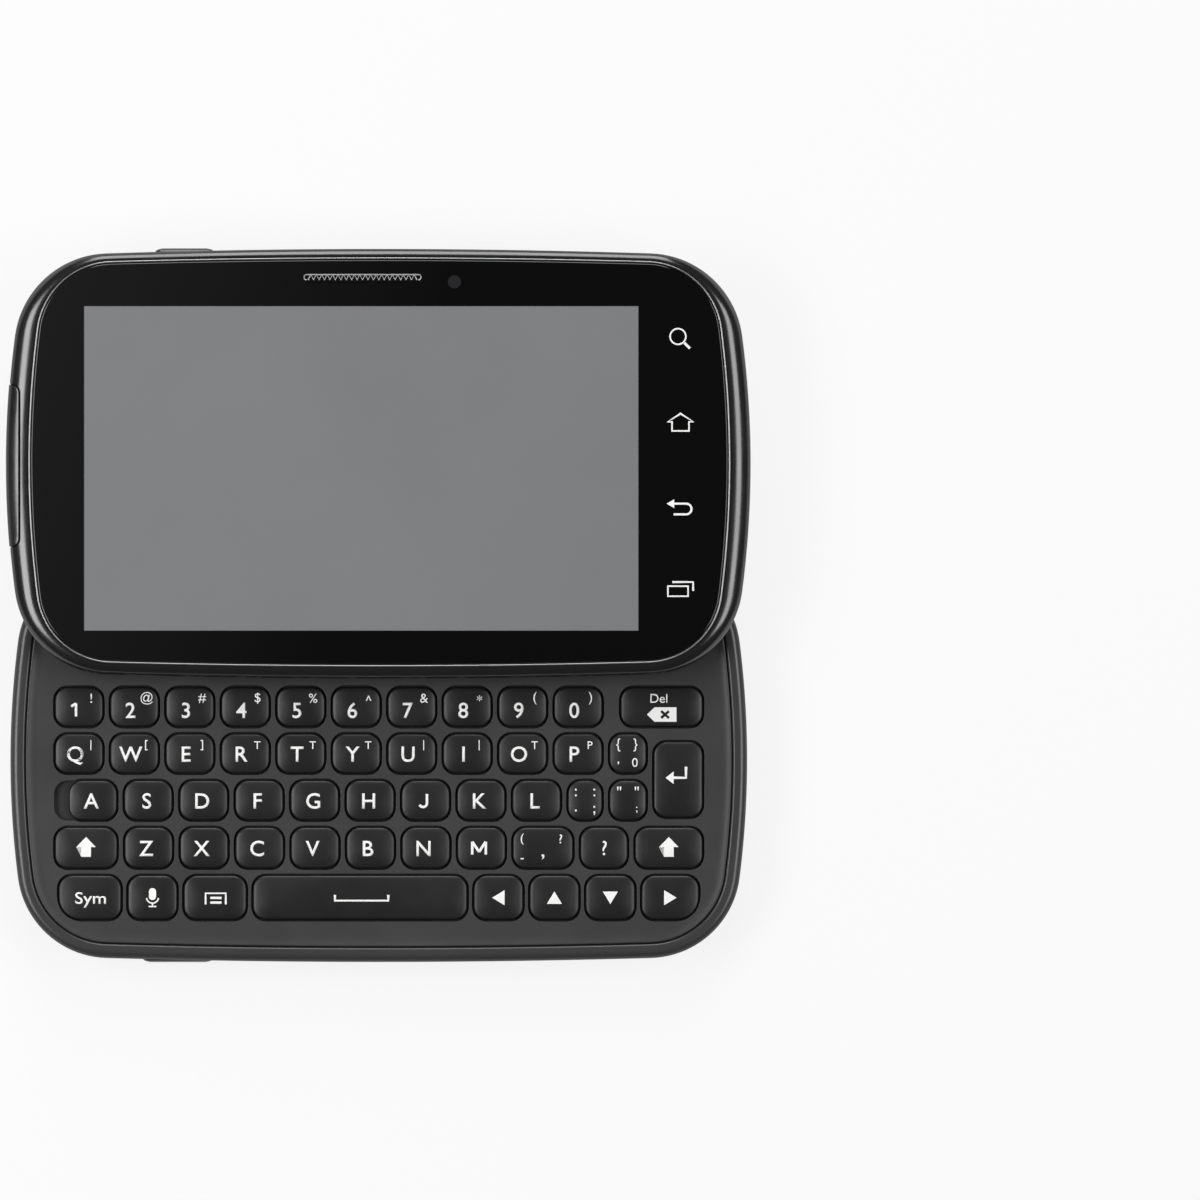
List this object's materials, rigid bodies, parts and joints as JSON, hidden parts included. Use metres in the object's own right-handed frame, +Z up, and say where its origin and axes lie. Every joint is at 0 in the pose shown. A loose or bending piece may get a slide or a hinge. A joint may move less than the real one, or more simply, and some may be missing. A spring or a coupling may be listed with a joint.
{
  "type": "slider phone",
  "caption": "Side-sliding phone with a touch screen half on two rails over a full keyboard half, shown slid open.",
  "frame": {"origin": "centre of the flat face of the rear cover that the phone lies on", "axes": "+X along the long sides towards the end with the touch icons, +Y the way the screen half slides open, +Z up from the rear cover to the screen"},
  "size_m": [0.1183, 0.114, 0.0135],
  "materials": {
    "soft_touch_cover": "matt soft-touch coating with fine leather grain",
    "satin_housing": "satin moulded plastic",
    "gloss_housing": "glossy moulded plastic",
    "deck_plastic": "fine satin moulded plastic",
    "key_plastic": "satin-gloss key caps with white legends",
    "control_plastic": "glossy side keys",
    "silicone": "translucent silicone sheet",
    "circuit_board": "solder-masked laminate",
    "pressed_steel": "pressed sheet steel",
    "cast_magnesium": "cast light-alloy plate",
    "bright_trim": "bright plated trim",
    "cover_glass": "black-backed cover glass",
    "camera_glass": "black-backed lens glass",
    "clear_lens": "clear flash lens",
    "display_grey": "display switched off, grey",
    "battery_wrap": "plain printed-free wrap",
    "black_module": "black moulded module",
    "phosphor": "yellow light-emitting chip",
    "grille_steel": "perforated steel",
    "slide_plastic": "self-lubricating moulded shoes"
  },
  "bodies": {
    "base": {"rear_cover": "soft_touch_cover", "base_frame": "satin_housing", "keypad_bezel": "gloss_housing", "keyboard_deck": "deck_plastic", "keypad_board": "circuit_board", "keypad_mat": "silicone", "main_board": "circuit_board", "shield_cans": "pressed_steel", "card_socket": "pressed_steel", "battery": "battery_wrap", "battery_contacts": "pressed_steel", "vibration_motor": "pressed_steel", "camera_ring": "bright_trim", "camera_window": "camera_glass", "camera_module": "black_module", "flash_lens": "clear_lens", "flash_led": "phosphor", "loudspeaker": "black_module", "headphone_jack": "black_module", "usb_port": "pressed_steel", "slide_shoes": "slide_plastic", "shoe_screws": "pressed_steel"},
    "screen": {"screen_back": "satin_housing", "screen_bezel": "gloss_housing", "trim_ring": "bright_trim", "touch_glass": "cover_glass", "lcd_panel": "display_grey", "display_chassis": "cast_magnesium", "slide_rails": "pressed_steel", "earpiece_grille": "grille_steel", "earpiece_receiver": "black_module", "front_camera": "black_module", "screen_board": "circuit_board", "chassis_screws": "pressed_steel"},
    "number_keys": {"number_keys": "key_plastic"},
    "delete_key": {"delete_key": "key_plastic"},
    "top_letter_keys": {"top_letter_keys": "key_plastic"},
    "punctuation_keys": {"punctuation_keys": "key_plastic"},
    "enter_key": {"enter_key": "key_plastic"},
    "middle_letter_keys": {"middle_letter_keys": "key_plastic"},
    "left_shift_key": {"left_shift_key": "key_plastic"},
    "bottom_letter_keys": {"bottom_letter_keys": "key_plastic"},
    "right_shift_key": {"right_shift_key": "key_plastic"},
    "symbol_key": {"symbol_key": "key_plastic"},
    "voice_key": {"voice_key": "key_plastic"},
    "menu_key": {"menu_key": "key_plastic"},
    "space_key": {"space_key": "key_plastic"},
    "left_arrow_key": {"left_arrow_key": "key_plastic"},
    "up_arrow_key": {"up_arrow_key": "key_plastic"},
    "down_arrow_key": {"down_arrow_key": "key_plastic"},
    "right_arrow_key": {"right_arrow_key": "key_plastic"},
    "power_key": {"power_key": "control_plastic"},
    "volume_rocker": {"volume_rocker": "control_plastic"},
    "shutter_key": {"shutter_key": "control_plastic"},
    "port_cover": {"port_cover": "satin_housing"}
  },
  "joints": [
    {"name": "screen_slide", "type": "slide", "parent": "base", "child": "screen", "axis": [0, 1, 0], "range_m": [-0.04706, 0]},
    {"name": "number_keys_press", "type": "slide", "parent": "base", "child": "number_keys", "axis": [0, 0, 1], "range_m": [-0.00025, 0], "stiffness_N_per_m": 300},
    {"name": "delete_key_press", "type": "slide", "parent": "base", "child": "delete_key", "axis": [0, 0, 1], "range_m": [-0.00025, 0], "stiffness_N_per_m": 300},
    {"name": "top_letter_keys_press", "type": "slide", "parent": "base", "child": "top_letter_keys", "axis": [0, 0, 1], "range_m": [-0.00025, 0], "stiffness_N_per_m": 300},
    {"name": "punctuation_keys_press", "type": "slide", "parent": "base", "child": "punctuation_keys", "axis": [0, 0, 1], "range_m": [-0.00025, 0], "stiffness_N_per_m": 300},
    {"name": "enter_key_press", "type": "slide", "parent": "base", "child": "enter_key", "axis": [0, 0, 1], "range_m": [-0.00025, 0], "stiffness_N_per_m": 300},
    {"name": "middle_letter_keys_press", "type": "slide", "parent": "base", "child": "middle_letter_keys", "axis": [0, 0, 1], "range_m": [-0.00025, 0], "stiffness_N_per_m": 300},
    {"name": "left_shift_key_press", "type": "slide", "parent": "base", "child": "left_shift_key", "axis": [0, 0, 1], "range_m": [-0.00025, 0], "stiffness_N_per_m": 300},
    {"name": "bottom_letter_keys_press", "type": "slide", "parent": "base", "child": "bottom_letter_keys", "axis": [0, 0, 1], "range_m": [-0.00025, 0], "stiffness_N_per_m": 300},
    {"name": "right_shift_key_press", "type": "slide", "parent": "base", "child": "right_shift_key", "axis": [0, 0, 1], "range_m": [-0.00025, 0], "stiffness_N_per_m": 300},
    {"name": "symbol_key_press", "type": "slide", "parent": "base", "child": "symbol_key", "axis": [0, 0, 1], "range_m": [-0.00025, 0], "stiffness_N_per_m": 300},
    {"name": "voice_key_press", "type": "slide", "parent": "base", "child": "voice_key", "axis": [0, 0, 1], "range_m": [-0.00025, 0], "stiffness_N_per_m": 300},
    {"name": "menu_key_press", "type": "slide", "parent": "base", "child": "menu_key", "axis": [0, 0, 1], "range_m": [-0.00025, 0], "stiffness_N_per_m": 300},
    {"name": "space_key_press", "type": "slide", "parent": "base", "child": "space_key", "axis": [0, 0, 1], "range_m": [-0.00025, 0], "stiffness_N_per_m": 300},
    {"name": "left_arrow_key_press", "type": "slide", "parent": "base", "child": "left_arrow_key", "axis": [0, 0, 1], "range_m": [-0.00025, 0], "stiffness_N_per_m": 300},
    {"name": "up_arrow_key_press", "type": "slide", "parent": "base", "child": "up_arrow_key", "axis": [0, 0, 1], "range_m": [-0.00025, 0], "stiffness_N_per_m": 300},
    {"name": "down_arrow_key_press", "type": "slide", "parent": "base", "child": "down_arrow_key", "axis": [0, 0, 1], "range_m": [-0.00025, 0], "stiffness_N_per_m": 300},
    {"name": "right_arrow_key_press", "type": "slide", "parent": "base", "child": "right_arrow_key", "axis": [0, 0, 1], "range_m": [-0.00025, 0], "stiffness_N_per_m": 300},
    {"name": "shutter_press", "type": "slide", "parent": "base", "child": "shutter_key", "axis": [0, 1, 0], "range_m": [0, 0.0004], "stiffness_N_per_m": 300},
    {"name": "power_press", "type": "slide", "parent": "screen", "child": "power_key", "axis": [0, -1, 0], "range_m": [0, 0.00035], "stiffness_N_per_m": 300},
    {"name": "volume_rock", "type": "hinge", "parent": "screen", "child": "volume_rocker", "pos_m": [-0.05792, 0.04676, 0.0113], "axis": [0, 0, 1], "range_deg": [-1.1, 1.1], "stiffness_Nm_per_rad": 0.05},
    {"name": "port_cover_hinge", "type": "hinge", "parent": "base", "child": "port_cover", "pos_m": [0.0227, -0.03143, 0.00515], "axis": [-1, 0, 0], "range_deg": [0, 85]}
  ]
}
